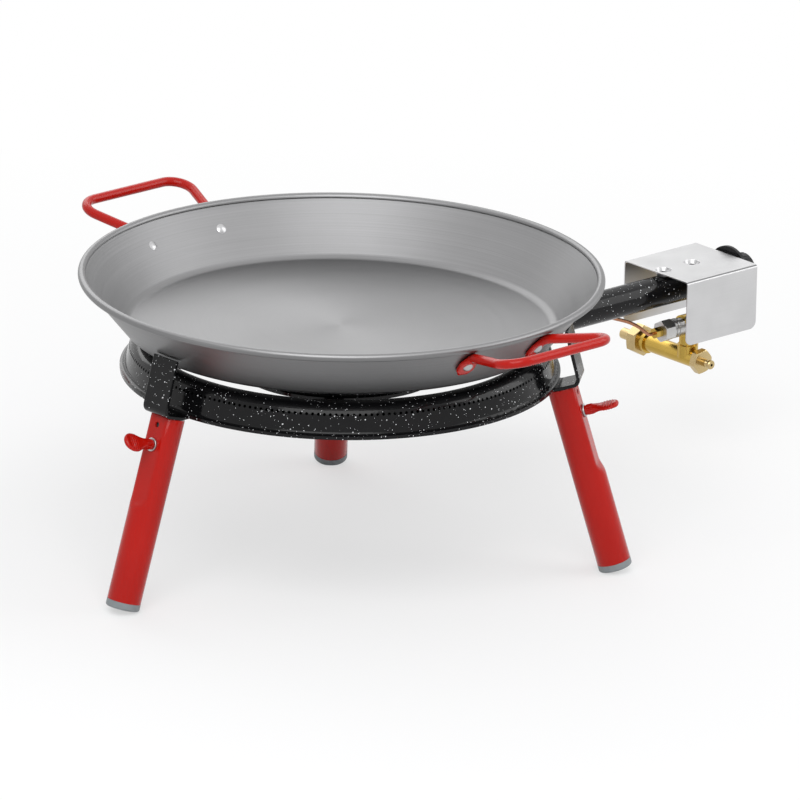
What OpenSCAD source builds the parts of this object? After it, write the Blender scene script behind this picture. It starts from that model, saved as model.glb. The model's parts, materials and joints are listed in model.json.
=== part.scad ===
// Gas paella burner: two enamelled burner rings on three push-on legs, fed through one mixing tube from
// a safety tap under a sheet cover, with its paella pan standing on the three brackets.
// Millimetres. The origin is on the burner's axis at floor level, +X runs along the mixing tube
// towards the knob and +Z is up.

/* [Burner rings] */
// Height of the undersides of both rings over the floor
burner_h = 170.5; // [140:0.5:240]
// Radius of the outer ring at the middle of its section
outer_ring_r = 172.3; // [165:0.1:182]
// Radius of the inner ring at the middle of its section
inner_ring_r = 69; // [60:0.5:80]
// Height of a ring from its underside to its crest
ring_h = 29; // [26:0.5:34]
// Radius of the round crown of a ring's section
crown_r = 13.5; // [12:0.1:14.5]
// Half width of a ring's section where the wall meets the lip
ring_foot_half = 16; // [15:0.1:17]
// Half width of a ring across its flat lip
flange_half = 21; // [20.5:0.1:23]
// Outside radius of the curve from the wall to the lip
lip_r = 3.5; // [2:0.1:3.5]
// Sheet thickness of the ring pressings and base plates
ring_sheet = 1.5; // [1:0.1:2]
// Diameter of a gas port
port_d = 2.6; // [2:0.1:3]
// Spacing of the gas ports along the middle of a ring
port_pitch = 4.75; // [4.5:0.05:12]
// Angle of the gas ports above the horizontal
port_tilt = 20; // [10:1:40]
// Diameter of the feed hole from the tube into a ring
feed_d = 19; // [12:0.5:20]
// Width of the straps that carry the inner ring
strap_w = 20; // [12:0.5:28]
// Thickness of the straps that carry the inner ring
strap_t = 2.5; // [1.5:0.1:4]
// Azimuth of the two straps from the tube
strap_angle = 135; // [110:1:150]

/* [Mixing tube] */
// Outside diameter of the mixing tube
tube_d = 28; // [26:0.5:32]
// Wall of the mixing tube
tube_wall = 1.5; // [1:0.1:2]
// Height of the tube's axis below the ring undersides
tube_drop = 6.5; // [5:0.1:8]
// Distance of the tube's open end from the burner's axis
tube_end_x = 427; // [405:1:450]
// Thickness of the cap that closes the tube under the inner ring
tube_cap_t = 2; // [1:0.1:3]

/* [Pan brackets] */
// Width of a bracket strip
bracket_w = 30; // [24:0.5:34]
// Thickness of a bracket strip
bracket_t = 3; // [2:0.1:4]
// Bend radius at the middle of the strip
bracket_bend = 5.5; // [4:0.1:7]
// Distance from a leg's top out to the bracket's outer corner
bracket_over = 15.5; // [14:0.5:20]
// Height of a bracket's tip over the ring undersides
bracket_h = 52; // [45:0.5:60]
// Length of the flat tab under the outer ring
bracket_tab = 33; // [25:0.5:40]
// Room between the ring's lip and the bracket's first bend
bracket_room = 1.2; // [1:0.1:3]

/* [Legs] */
// Azimuth of the two legs beside the tube
leg_angle = 50; // [40:1:60]
// Lean of the legs from the vertical
leg_splay = 16.8; // [12:0.1:22]
// Distance from the bracket's first bend out to the leg's top
leg_in = 3.5; // [1.5:0.1:5.5]
// Outside diameter of a leg
leg_d = 30; // [26:0.5:32]
// Wall of a leg tube
leg_wall = 1.5; // [1:0.1:2]
// Distance from a leg's axis to its pressed flat
leg_flat = 10.5; // [9.5:0.1:11.5]
// Length of the pressed flat from the leg's top
leg_flat_len = 73; // [60:1:90]
// Length over which the flat runs out to the round tube
leg_flare = 14; // [8:0.5:20]
// Diameter of the small hole near the leg's top
leg_hole_d = 5; // [3:0.1:7]
// Distance of that hole from the leg's top
leg_hole_drop = 8; // [6:0.5:10]
// Length of the stem inside a leg
stem_len = 48; // [36:1:60]
// Wall of the stem
stem_wall = 2; // [1.5:0.1:3]
// Height of the visible rim of a foot cap
foot_rim_h = 6.5; // [4:0.5:10]
// Rounding of the foot cap's lower edge
foot_round = 2; // [1:0.1:3]
// Depth of the wear flat where a foot meets the floor
foot_wear = 0.6; // [0.4:0.1:1]
// Length of the foot cap's plug inside the leg
foot_plug = 18; // [10:0.5:30]

/* [Thumb screws] */
// Distance of a thumb screw from the leg's top
screw_drop = 26; // [20:0.5:32]
// Diameter of the screw's shank
screw_d = 8; // [6:0.5:9]
// Diameter of the threaded bush on the flat
bush_d = 12; // [11:0.5:15]
// Height of the threaded bush
bush_h = 2; // [1.5:0.1:5]
// Diameter of the neck under the spade
neck_d = 8.8; // [8:0.1:11]
// Length of the neck
neck_len = 9; // [6:0.5:14]
// Width of the spade
spade_w = 18; // [14:0.5:22]
// Length of the spade
spade_len = 21; // [18:0.5:30]
// Thickness of the spade
spade_t = 4.5; // [3:0.1:6]
// Rounding of the spade's outer corners
spade_round = 6.8; // [4:0.1:7]

/* [Pan] */
// Height of the pan's base over the ring undersides
pan_lift = 39; // [34:0.5:44]
// Radius at which the base and the wall would meet
pan_base_r = 188.4; // [180:0.1:195]
// Height of the rolled rim's middle over the base
pan_depth = 47; // [38:0.5:60]
// Lean of the pan's wall from the vertical
pan_lean = 39.5; // [35:0.5:45]
// Sheet thickness of the pan
pan_sheet = 1.6; // [1:0.1:2]
// Outside radius of the curve from base to wall
pan_round = 12; // [8:0.5:18]
// Diameter of the rolled rim
pan_bead_d = 7; // [5:0.5:9]

/* [Handles] */
// Diameter of the handle bar
bar_d = 8.5; // [6:0.5:10]
// Distance from the pan's rim out to the grip
grip_out = 61.5; // [50:0.5:75]
// Width of the handle between the bar's middles at the grip
grip_w = 129; // [96:1:140]
// Distance between the two lugs
lug_gap = 80; // [70:1:90]
// Bend radius at the middle of the bar
bar_bend = 18; // [12:0.5:22]
// Rise of the grip over the bar's start
grip_rise = 15; // [0:0.5:20]
// Width of a flattened lug
lug_w = 17; // [13:0.5:20]
// Thickness of a flattened lug
lug_t = 4; // [3:0.1:5]
// Height of the rivets over the pan's base
rivet_h = 28.5; // [22:0.5:31]
// Distance from a rivet up to the bar's start along the wall
lug_up = 15; // [12:0.5:17]
// Diameter of a rivet's shank
rivet_d = 5; // [4:0.1:6]
// Diameter of a rivet's head
rivet_head_d = 9; // [7:0.1:11]
// Height of a rivet's head
rivet_head_h = 2.4; // [1.5:0.1:3]

/* [Valve cover] */
// Distance of the cover's inner end from the burner's axis
cover_x = 377.3; // [370:0.1:382]
// Length of the cover along the tube
cover_len = 85.7; // [80:0.1:87]
// Width of the cover
cover_w = 83.5; // [70:0.5:95]
// Height of the cover's sides
cover_h = 60; // [50:0.5:70]
// Room from the tube's crest up to the cover's top
cover_rise = 5.5; // [5:0.1:8]
// Sheet thickness of the cover
cover_sheet = 1.2; // [0.8:0.1:1.5]
// Outside bend radius of the cover's top edges
cover_bend = 3; // [2:0.1:5]
// Rounding of the lower corners of the cover's sides
cover_corner = 7; // [4:0.5:10]
// Distance of the first cover screw from the cover's inner end
cover_screw_in = 9; // [9:0.5:12]
// Distance between the two cover screws
cover_screw_gap = 35; // [28:0.5:36]
// Radius of a pressed dimple at the cover's top
dimple_r = 7.5; // [6.5:0.1:8]
// Radius of a pressed dimple at its floor
dimple_floor_r = 6; // [5:0.1:6]
// Diameter of a cover screw's shank
cover_screw_d = 4; // [3:0.1:5]
// Diameter of a cover screw's head
cover_screw_head_d = 8.5; // [7:0.1:9]
// Height of a cover screw's head
cover_screw_head_h = 2.6; // [2:0.1:3]

/* [Tap and knob] */
// Diameter of the tap's barrel
barrel_d = 22; // [20:0.5:26]
// Length of the tap's barrel
barrel_len = 24; // [22:0.5:28]
// Diameter of the turning plug in the barrel
plug_d = 15; // [13:0.5:16]
// Thickness of the bonnet that closes the barrel
bonnet_t = 3; // [2:0.1:4]
// Diameter of the spindle
spindle_d = 8; // [6:0.5:9]
// Push travel of the knob
knob_push = 3; // [2:0.1:3.2]
// Diameter of the knob's skirt
skirt_d = 50; // [40:0.5:60]
// Thickness of the knob's skirt
skirt_t = 4.5; // [3:0.1:6]
// Diameter of the knob's grip
knob_grip_d = 34; // [28:0.5:38]
// Height of the knob's grip over the skirt
knob_grip_h = 17; // [14:0.5:20]
// Number of flutes round the grip
flute_count = 12; // [6:1:16]
// Diameter of the injector's nozzle
injector_d = 10; // [8:0.1:12]
// Diameter of the chamber under the barrel
chamber_d = 20; // [18:0.5:24]
// Length of the chamber
chamber_len = 41; // [38:0.5:50]
// Distance of the chamber's axis below the barrel's
chamber_drop = 39; // [35:0.5:44]
// Diameter of the riser from the chamber to the barrel
riser_d = 16; // [13:0.5:18]

/* [Gas rail] */
// Distance of the rail below the chamber's axis
rail_drop = 30.5; // [28:0.5:38]
// Diameter of the rail
rail_d = 16; // [13:0.5:18]
// Bore of the rail
rail_bore = 8; // [6:0.5:9]
// Length of the rail from the tap to its collar
rail_back = 50; // [44:0.5:65]
// Length of the rail from the tap to its front end
rail_front = 13.5; // [11:0.5:18]
// Diameter of the collar beside the inlet nut
collar_d = 20; // [18:0.5:22]
// Length of the collar
collar_len = 6.5; // [4:0.5:9]
// Size of the inlet nut across its flats
inlet_nut_af = 25.5; // [24:0.5:30]
// Length of the inlet nut
inlet_nut_len = 11.5; // [9:0.5:22]
// Diameter of the inlet stub
stub_d = 10.4; // [10:0.1:12]
// Length of the inlet stub beyond the nut
stub_len = 17; // [10:0.5:24]
// Bore of the inlet stub
stub_bore = 6; // [4:0.1:7]
// Size of the front nut across its flats
front_nut_af = 20; // [18:0.5:23]
// Length of the front nut
front_nut_len = 7.5; // [6:0.1:14]
// Diameter of the pressure test nipple
nipple_d = 8.4; // [7:0.1:9]
// Length of the pressure test nipple
nipple_len = 11; // [8:0.1:14]

/* [Flame sensor] */
// Size of the magnet unit's hexagon across its flats
magnet_hex_af = 17.5; // [15:0.5:19]
// Length of the magnet unit's hexagon
magnet_hex_len = 12; // [10:0.5:16]
// Diameter of the magnet unit's round body
magnet_d = 16.5; // [14:0.5:17]
// Length of the magnet unit's round body
magnet_len = 14.5; // [12:0.5:20]
// Size of the sensor lead's nut across its flats
lead_nut_af = 9; // [8:0.1:11]
// Length of the sensor lead's nut
lead_nut_len = 8; // [6:0.1:12]
// Diameter of the sensor lead
lead_d = 3.2; // [2:0.1:3.5]
// Distance of the sensor from the outer ring's inner edge along the tube
sensor_in = 13.3; // [10:0.1:18]
// Distance of the sensor from the tube's middle
sensor_y = 22; // [20:0.5:26]
// Diameter of the sensor's sheath
sensor_d = 5; // [4:0.1:6]
// Length of the sensor's sheath
sensor_len = 33; // [26:0.5:34]
// Width of the clip that carries the sensor
clip_w = 12; // [10:0.5:16]
// Thickness of the clip that carries the sensor
clip_t = 2; // [1.5:0.1:3]

/* [Hidden] */
$fn = 96;

// Colours of the real surfaces
enamel = [0.06, 0.06, 0.07];
red_paint = [0.75, 0.1, 0.08];
steel = [0.72, 0.73, 0.75];
bright_steel = [0.85, 0.86, 0.88];
brass = [0.8, 0.62, 0.28];
pale_brass = [0.83, 0.74, 0.5];
copper = [0.62, 0.36, 0.26];
cap_grey = [0.5, 0.54, 0.56];
black_plastic = [0.08, 0.08, 0.09];

// Clearances and the overrun of every cut
overrun = 1;
rest_gap = 0.3;
running_gap = 0.05;
fixed_gap = 0.1;

// Swelling of a bar's bends, the reach of its runs into them, and the steps that draw a rounded corner
bend_swell = 0.05;
bend_lap = 0.6;
arc_steps = 10;

// Angles of the legs: one opposite the tube and one on each side of it
far_angle = 180;
left_angle = -leg_angle;
right_angle = leg_angle;

// Turn of each thumb screw: at a right angle its spade stands along the leg
far_spin = -45;
left_spin = 4;
right_spin = 55;
right_turn = 90;
half_turn = 180;
full_turn = 360;

// Heights
tube_z = burner_h - tube_drop;
tube_r = tube_d / 2;
tube_top = tube_z + tube_r;
crown_z = ring_h - crown_r;
flange_top = 2 * ring_sheet;
pan_z = burner_h + pan_lift;

// Leg line: the leg's top seats under the sloping part of its bracket
leg_r = leg_d / 2;
bracket_bend_r = outer_ring_r + flange_half + bracket_room;
leg_top_r = bracket_bend_r + leg_in;
bracket_out_r = leg_top_r + bracket_over;
strip_mid_z = burner_h - bracket_t / 2;
seat_off = rest_gap + bracket_t / 2;
seat_mid_r = leg_top_r - seat_off * sin(leg_splay);
leg_top_z = strip_mid_z + (seat_mid_r - bracket_bend_r) * tan(leg_splay) - seat_off * cos(leg_splay);
foot_end_z = foot_round - foot_wear - foot_round * cos(leg_splay) + (leg_r - foot_round) * sin(leg_splay);
leg_len = (leg_top_z - foot_end_z) / cos(leg_splay);
leg_tube_len = leg_len - foot_rim_h;
floor_span = 2 * (leg_top_r + leg_len);

// Pan wall: radius of its outside at a height over the base
function wall_r(h) = pan_base_r + h * tan(pan_lean);
pan_turn = right_turn - pan_lean;
pan_trim = pan_round * tan(pan_turn / 2);

// Handle: the lugs are long hexagons flat on the pan's wall and the bar starts on their outer faces
lug_end_share = 0.62;
lug_tail_share = 0.68;
knuckle_step = 0.3;
lug_angle = asin(lug_gap / 2 / wall_r(rivet_h));
bar_start_h = rivet_h + lug_up * cos(pan_lean) - bar_d / 2 * sin(pan_lean);
bar_start_r = wall_r(rivet_h) + lug_up * sin(pan_lean) + bar_d / 2 * cos(pan_lean);
bar_start_x = bar_start_r * sin(lug_angle);
bar_start_y = bar_start_r * cos(lug_angle);
grip_r = wall_r(pan_depth) + grip_out;
bar_tilt = atan(grip_rise / (grip_r - bar_start_y));
bar_reach = norm([grip_rise, grip_r - bar_start_y]);

// Chamfer of the nuts, outline of the nipple as radius and height, and the nuts' turns
nut_face_share = 0.97;
nut_chamfer = 30;
nipple_shares = [[0.3, 0], [0.85, 0], [0.85, 0.45], [0.62, 0.58], [0.62, 0.66], [0.9, 0.7], [1, 0.76],
                 [1, 0.93], [0.85, 1], [0.3, 1]];
inlet_nut_turn = 30;
front_nut_turn = 10;

// Tap train along +X from the tube's open end
cover_top = tube_top + cover_rise;
cover_screw_x = [cover_x + cover_screw_in, cover_x + cover_screw_in + cover_screw_gap];
dimple_z = tube_top + fixed_gap;
venturi_t = 2.5;
venturi_hole_d = 4.6;
venturi_hole_count = 6;
venturi_ring_r = (tube_r - tube_wall + injector_d / 2) / 2;
injector_head_len = 5;
injector_head_d = 16;
injector_nose = 9;
injector_orifice_d = 1.2;
barrel_x = tube_end_x + injector_head_len;
bonnet_x = barrel_x + barrel_len;
barrel_web = 3.2;
plug_x = barrel_x + barrel_web;
knob_room = 0.5;
knob_skirt_x = cover_x + cover_len + knob_push + knob_room;
spindle_in = 12;
spindle_x = bonnet_x - spindle_in;
knob_bore_len = 8;
knob_face_x = knob_skirt_x + skirt_t + knob_grip_h;
riser_x = barrel_x + barrel_len / 2;
chamber_z = tube_z - chamber_drop;
chamber_x = riser_x + riser_d / 2 - chamber_len;
rail_x = chamber_x + riser_d / 2;
rail_z = chamber_z - rail_drop;
rail_boss_h = 12;
rail_boss_step = 1.5;
rail_boss_d = riser_d + 2 * rail_boss_step;
rail_boss_z = rail_z + rail_boss_h;
collar_y = rail_back;
inlet_nut_y = rail_back + collar_len;
stub_y = inlet_nut_y + inlet_nut_len;
stub_step = 0.7;
stub_core_d = stub_d - 2 * stub_step;
magnet_x = chamber_x - magnet_len;
magnet_bead = 1.6;
magnet_bead_shares = [0.12, 0.36];
magnet_hex_x = magnet_x - magnet_hex_len;
lead_nut_x = magnet_hex_x - lead_nut_len;
sensor_x = outer_ring_r - flange_half - sensor_in;
sensor_tail = 10;
sensor_z = tube_top + clip_t - sensor_tail;

// Sensor lead: from its nut up behind the tube, along it and up to the sensor
lead_run = 66.5;
lead_turn = 25;
lead_room = 1.4;
lead_off = (tube_r + lead_d / 2 + lead_room) / sqrt(2);
lead_low = tube_z - lead_off;
lead_climb_shares = [[0, 0, 0], [0.04, 0, 0], [0.08, 0, 0], [0.15, 0.02, 0.11], [0.27, 0.1, 0.36],
                     [0.43, 0.33, 0.585], [0.61, 0.67, 0.75], [0.8, 0.92, 0.92], [1, 1, 1], [1.3, 1, 1]];
lead_end_shares = [[3.6, 0, 0], [2, 0, 0], [1.1, 0.05, 0], [0.5, 0.42, 0.07], [0.14, 0.84, 0.3],
                   [0, 1, 0.62], [0, 1, 0.81], [0, 1, 1]];
lead_route = [
    for (s = lead_climb_shares)
        [lead_nut_x - s.x * lead_run, s.y * lead_off, chamber_z + s.z * (lead_low - chamber_z)],
    for (s = lead_end_shares)
        [sensor_x + s.x * lead_turn, lead_off + s.y * (sensor_y - lead_off),
         lead_low + s.z * (sensor_z - lead_low)]
];
lead_steps = 4;
lead_sides = 8;

// Planar path helpers: heading of a run, turn at a corner and the length that a bend takes off a run
function heading(a, b) = atan2(b.y - a.y, b.x - a.x);
function turn(p, i) =
    (heading(p[i], p[i + 1]) - heading(p[i - 1], p[i]) + full_turn + half_turn) % full_turn - half_turn;
function trim(p, i, bend) = i == 0 || i == len(p) - 1 ? 0 : bend * tan(abs(turn(p, i)) / 2);

// Round bar bent along a planar path: its runs reach a little way into its slightly swollen bends
module bent_bar(path, bend, d) {
    last = len(path) - 1;
    for (i = [0 : last - 1]) {
        start = trim(path, i, bend) - (i > 0 ? bend_lap : 0);
        end = trim(path, i + 1, bend) - (i < last - 1 ? bend_lap : 0);
        translate(path[i])
            rotate([0, right_turn, heading(path[i], path[i + 1])])
            translate([0, 0, start]) cylinder(h = norm(path[i + 1] - path[i]) - start - end, d = d);
    }
    for (i = [1 : last - 1]) {
        side = sign(turn(path, i));
        sweep = abs(turn(path, i));
        translate(path[i])
            rotate([0, 0, heading(path[i - 1], path[i])])
            translate([-trim(path, i, bend), side * bend, 0])
            rotate([0, 0, side > 0 ? -right_turn : right_turn - sweep])
            rotate_extrude(angle = sweep) translate([bend, 0]) circle(d = d + 2 * bend_swell);
    }
}

// Points along an arc, from one angle to another
function arc(centre, r, from, to) =
    [for (k = [0 : arc_steps]) centre + r * [cos(from + (to - from) * k / arc_steps),
                                             sin(from + (to - from) * k / arc_steps)]];

// One side of a bent strip: the path moved to its left by a distance, with its corners rounded
function strip_side(p, bend, off) = [
    p[0] + off * [-sin(heading(p[0], p[1])), cos(heading(p[0], p[1]))],
    for (i = [1 : len(p) - 2])
        let (before = heading(p[i - 1], p[i]), side = sign(turn(p, i)),
             centre = p[i] - trim(p, i, bend) * [cos(before), sin(before)]
                      + side * bend * [-sin(before), cos(before)],
             from = before - side * right_turn)
        each arc(centre, bend - side * off, from, from + turn(p, i)),
    let (i = len(p) - 1, a = heading(p[i - 1], p[i])) p[i] + off * [-sin(a), cos(a)]
];
function reversed(p) = [for (i = [len(p) - 1 : -1 : 0]) p[i]];

// Outline of a strip of even thickness bent along a planar path
module bent_strip(path, bend, t) {
    polygon(concat(strip_side(path, bend, t / 2), reversed(strip_side(path, bend, -t / 2))));
}

// Flat outline with four round corners, centred across its width and starting at x = 0
module rounded_outline(size_x, size_y, r) {
    translate([r, -size_y / 2]) square([size_x - 2 * r, size_y]);
    translate([0, r - size_y / 2]) square([size_x, size_y - 2 * r]);
    for (x = [r, size_x - r], y = [r - size_y / 2, size_y / 2 - r])
        translate([x, y]) circle(r);
}

// Cylinder along +X from a start point
module rod_x(x, z, d, length) {
    translate([x, 0, z]) rotate([0, right_turn, 0]) cylinder(h = length, d = d);
}

// Cylinder along +Y from a start point on the rail's line
module rod_y(y, d, length) {
    translate([rail_x, y, rail_z]) rotate([-right_turn, 0, 0]) cylinder(h = length, d = d);
}

// Hexagon along +Z, with its size across the flats and the corners of both ends chamfered
module hexagon(af, length) {
    corner_r = af / 2 / cos(half_turn / 6);
    face_r = af / 2 * nut_face_share;
    outer_r = 2 * corner_r - face_r;
    rise = (outer_r - face_r) * tan(nut_chamfer);
    intersection() {
        cylinder(h = length, r = corner_r, $fn = 6);
        rotate_extrude()
            polygon([[0, 0], [face_r, 0], [outer_r, rise], [outer_r, length - rise], [face_r, length],
                     [0, length]]);
    }
}

// Domed round head on z = 0
module domed_head(d, h) {
    dome_r = (h * h + d * d / 4) / (2 * h);
    intersection() {
        cylinder(h = h, d = d);
        translate([0, 0, h - dome_r]) sphere(dome_r);
    }
}

// Section of a ring, moved inwards by the sheet thickness for its hollow
module ring_section(inset) {
    r = crown_r - inset;
    half = ring_foot_half - inset;
    lip = lip_r + inset;
    floor_z = flange_top - inset;
    foot_z = flange_top + lip_r;
    reach = norm([half, crown_z - foot_z]);
    touch = acos(r / reach) - atan2(crown_z - foot_z, half);
    touch_x = r * cos(touch);
    touch_z = crown_z + r * sin(touch);
    translate([0, crown_z]) circle(r);
    polygon([[-half, floor_z], [half, floor_z], [half, foot_z], [touch_x, touch_z],
             [-touch_x, touch_z], [-half, foot_z]]);
    for (side = [-1, 1])
        difference() {
            translate([side > 0 ? half : -half - lip, floor_z]) square([lip, lip]);
            translate([side * (half + lip), foot_z]) circle(lip);
        }
}

// Pressed ring: a hollow crown over a flat lip, with its row of gas ports on the outer side
module ring_top(ring_r) {
    port_count = floor(2 * PI * ring_r / port_pitch);
    color(enamel) translate([0, 0, burner_h]) difference() {
        rotate_extrude() translate([ring_r, 0]) difference() {
            union() {
                ring_section(0);
                translate([-flange_half, ring_sheet]) square([2 * flange_half, ring_sheet]);
            }
            ring_section(ring_sheet);
        }
        for (i = [0 : port_count - 1])
            rotate([0, 0, (i + 0.5) * full_turn / port_count])
                translate([ring_r, 0, crown_z])
                rotate([0, right_turn - port_tilt, 0])
                translate([0, 0, crown_r - 2 * ring_sheet]) cylinder(h = 4 * ring_sheet, d = port_d);
    }
}

// Flat base plate that closes a ring from below, with the feed hole over the tube
module ring_base(ring_r) {
    color(enamel) translate([0, 0, burner_h]) difference() {
        cylinder(h = ring_sheet, r = ring_r + flange_half);
        translate([0, 0, -overrun]) cylinder(h = ring_sheet + 2 * overrun, r = ring_r - flange_half);
        translate([ring_r, 0, -overrun]) cylinder(h = ring_sheet + 2 * overrun, d = feed_d);
    }
}

// Strap under both rings
module ring_strap(angle) {
    color(enamel) rotate([0, 0, angle])
        translate([inner_ring_r - flange_half / 2, -strap_w / 2, burner_h - strap_t])
        cube([outer_ring_r - inner_ring_r + flange_half, strap_w, strap_t]);
}

// Room that a ring takes out of the tube below it
module ring_notch(ring_r) {
    translate([0, 0, burner_h]) difference() {
        cylinder(h = ring_h, r = ring_r + flange_half + fixed_gap);
        translate([0, 0, -overrun]) cylinder(h = ring_h + 2 * overrun, r = ring_r - flange_half - fixed_gap);
    }
}

// Mixing tube, notched under both rings so that its gas goes up through the feed holes
module mixing_tube() {
    start = inner_ring_r - flange_half + tube_cap_t;
    color(enamel) difference() {
        rod_x(start, tube_z, tube_d, tube_end_x - start);
        rod_x(start - overrun, tube_z, tube_d - 2 * tube_wall, tube_end_x - start + 2 * overrun);
        ring_notch(outer_ring_r);
        ring_notch(inner_ring_r);
        for (x = cover_screw_x)
            translate([x, 0, tube_z]) cylinder(h = tube_d, d = cover_screw_d + 2 * fixed_gap);
    }
}

// Disc that closes the tube under the inner ring
module tube_end_cap() {
    color(enamel) difference() {
        rod_x(inner_ring_r - flange_half, tube_z, tube_d, tube_cap_t);
        ring_notch(inner_ring_r);
    }
}

// Plate in the tube's open end: carries the injector and lets the air in
module venturi_plate() {
    color(bright_steel) translate([tube_end_x - venturi_t, 0, tube_z]) rotate([0, right_turn, 0])
        difference() {
            cylinder(h = venturi_t, d = tube_d - 2 * tube_wall - 2 * fixed_gap);
            translate([0, 0, -overrun])
                cylinder(h = venturi_t + 2 * overrun, d = injector_d + 2 * fixed_gap);
            for (i = [1 : venturi_hole_count])
                rotate([0, 0, i * full_turn / venturi_hole_count])
                    translate([venturi_ring_r, 0, -overrun])
                    cylinder(h = venturi_t + 2 * overrun, d = venturi_hole_d);
        }
}

// Bent strip: tab under the outer ring, seat over the leg and upright that carries the pan
module pan_bracket(angle) {
    corner_z = strip_mid_z + (bracket_out_r - bracket_bend_r) * tan(leg_splay);
    tip_z = burner_h + bracket_h;
    tip_r = wall_r(bracket_h - pan_lift) + bracket_t / 2 + rest_gap;
    path = [[bracket_bend_r - bracket_tab, strip_mid_z], [bracket_bend_r, strip_mid_z],
            [bracket_out_r, corner_z], [tip_r, tip_z]];
    color(enamel) rotate([0, 0, angle]) rotate([right_turn, 0, 0])
        linear_extrude(bracket_w, center = true) bent_strip(path, bracket_bend, bracket_t);
}

// Places a piece in a leg's own frame: z runs up the leg to its top, x points out of the pressed flat
module at_leg(angle) {
    rotate([0, 0, angle]) translate([leg_top_r, 0, leg_top_z]) rotate([0, -leg_splay, 0]) children();
}

// Solid form of a leg with its pressed flat, between two heights and moved inwards from the outside
module leg_form(inset, low, high) {
    difference() {
        translate([0, 0, low]) cylinder(h = high - low, r = leg_r - inset);
        rotate([right_turn, 0, 0]) linear_extrude(2 * leg_d, center = true)
            polygon([[leg_flat - inset, high + overrun], [leg_flat - inset, -leg_flat_len],
                     [leg_r - inset, -leg_flat_len - leg_flare], [leg_d, -leg_flat_len - leg_flare],
                     [leg_d, high + overrun]]);
    }
}

// Stem under a bracket, which the leg is pushed over
module leg_stem(angle) {
    skin = leg_wall + rest_gap;
    color(bright_steel) at_leg(angle) difference() {
        leg_form(skin, -stem_len, rest_gap);
        leg_form(skin + stem_wall, -stem_len - overrun, rest_gap + overrun);
    }
}

// Leg tube with its pressed flat, the small hole and the hole for the thumb screw
module leg_tube(angle) {
    color(red_paint) at_leg(angle) difference() {
        leg_form(0, -leg_tube_len, 0);
        leg_form(leg_wall, -leg_tube_len - overrun, overrun);
        translate([0, 0, -leg_hole_drop]) rotate([0, right_turn, 0]) cylinder(h = leg_d, d = leg_hole_d);
        translate([0, 0, -screw_drop]) rotate([0, right_turn, 0])
            cylinder(h = leg_d, d = screw_d + 2 * fixed_gap);
    }
}

// End cap plugged into a leg, with the small flat that it stands on
module foot_cap(angle) {
    plug_r = leg_r - leg_wall - fixed_gap;
    color(cap_grey) difference() {
        at_leg(angle) translate([0, 0, -leg_len]) rotate_extrude() {
            translate([0, foot_round]) square([leg_r, foot_rim_h - foot_round]);
            square([leg_r - foot_round, foot_rim_h]);
            intersection() {
                translate([leg_r - foot_round, foot_round]) circle(foot_round);
                square([leg_r, foot_rim_h]);
            }
            translate([0, foot_rim_h]) square([plug_r, foot_plug]);
        }
        translate([-floor_span, -floor_span, -floor_span]) cube([2 * floor_span, 2 * floor_span, floor_span]);
    }
}

// Threaded bush on a leg's flat
module screw_bush(angle) {
    color(steel) at_leg(angle) translate([leg_flat, 0, -screw_drop]) rotate([0, right_turn, 0]) difference() {
        cylinder(h = bush_h, d = bush_d);
        translate([0, 0, -overrun]) cylinder(h = bush_h + 2 * overrun, d = screw_d + 2 * running_gap);
    }
}

// Thumb screw: shank, neck and ribbed spade, turned about its own axis
module thumb_screw(angle, spin) {
    spade_x = leg_flat + bush_h + rest_gap + neck_len;
    rib_count = 6;
    rib_pitch = spade_len / (2 * rib_count);
    rib_t = rib_pitch / 2;
    rib_start_share = 0.32;
    color(red_paint) at_leg(angle) translate([0, 0, -screw_drop]) rotate([spin, 0, 0]) {
        rod_x(leg_flat - leg_wall, 0, screw_d, spade_x - leg_flat + leg_wall);
        rod_x(leg_flat + bush_h + rest_gap, 0, neck_d, neck_len + spade_t);
        translate([spade_x, 0, 0]) {
            linear_extrude(spade_t, center = true) rounded_outline(spade_len, spade_w, spade_round);
            for (i = [0 : rib_count - 1], side = [-1, 1])
                translate([rib_start_share * spade_len + i * rib_pitch, 0, side * spade_t / 2])
                    cube([rib_t, spade_w - spade_round, 2 * rib_t], center = true);
        }
    }
}

// Pan: flat base, rounded corner, leaning wall and rolled rim, drilled for the handle rivets
module pan_shell() {
    corner = [pan_base_r - pan_trim, pan_round];
    rim = [wall_r(pan_depth), pan_depth];
    color(steel) difference() {
        translate([0, 0, pan_z]) rotate_extrude() {
            polygon(concat([[0, 0]], arc(corner, pan_round, -right_turn, -pan_lean),
                           [rim, rim + pan_sheet * [-cos(pan_lean), sin(pan_lean)]],
                           arc(corner, pan_round - pan_sheet, -pan_lean, -right_turn), [[0, pan_sheet]]));
            translate(rim) circle(d = pan_bead_d);
        }
        for (side = [-1, 1], end = [-1, 1])
            at_lug(side, end) translate([0, 0, -2 * pan_sheet])
                cylinder(h = 4 * pan_sheet, d = rivet_d + 2 * fixed_gap);
    }
}

// Places a piece on the pan's wall at a rivet: z points out of the wall and x down along it
module at_lug(side, end) {
    rotate([0, 0, side * right_turn + end * lug_angle])
        translate([wall_r(rivet_h), 0, pan_z + rivet_h])
        rotate([0, right_turn + pan_lean, 0]) children();
}

// Outline of a lug round its rivet, with its shorter sides at the rim and at the tail
module lug_outline() {
    top = -lug_up - lug_t;
    tail = lug_tail_share * lug_w;
    half = lug_w / 2;
    end = half * lug_end_share;
    side = half - end;
    polygon([[top, -end], [top + side, -half], [tail - 2 * side, -half], [tail, -end],
             [tail, end], [tail - 2 * side, half], [top + side, half], [top, end]]);
}

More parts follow.
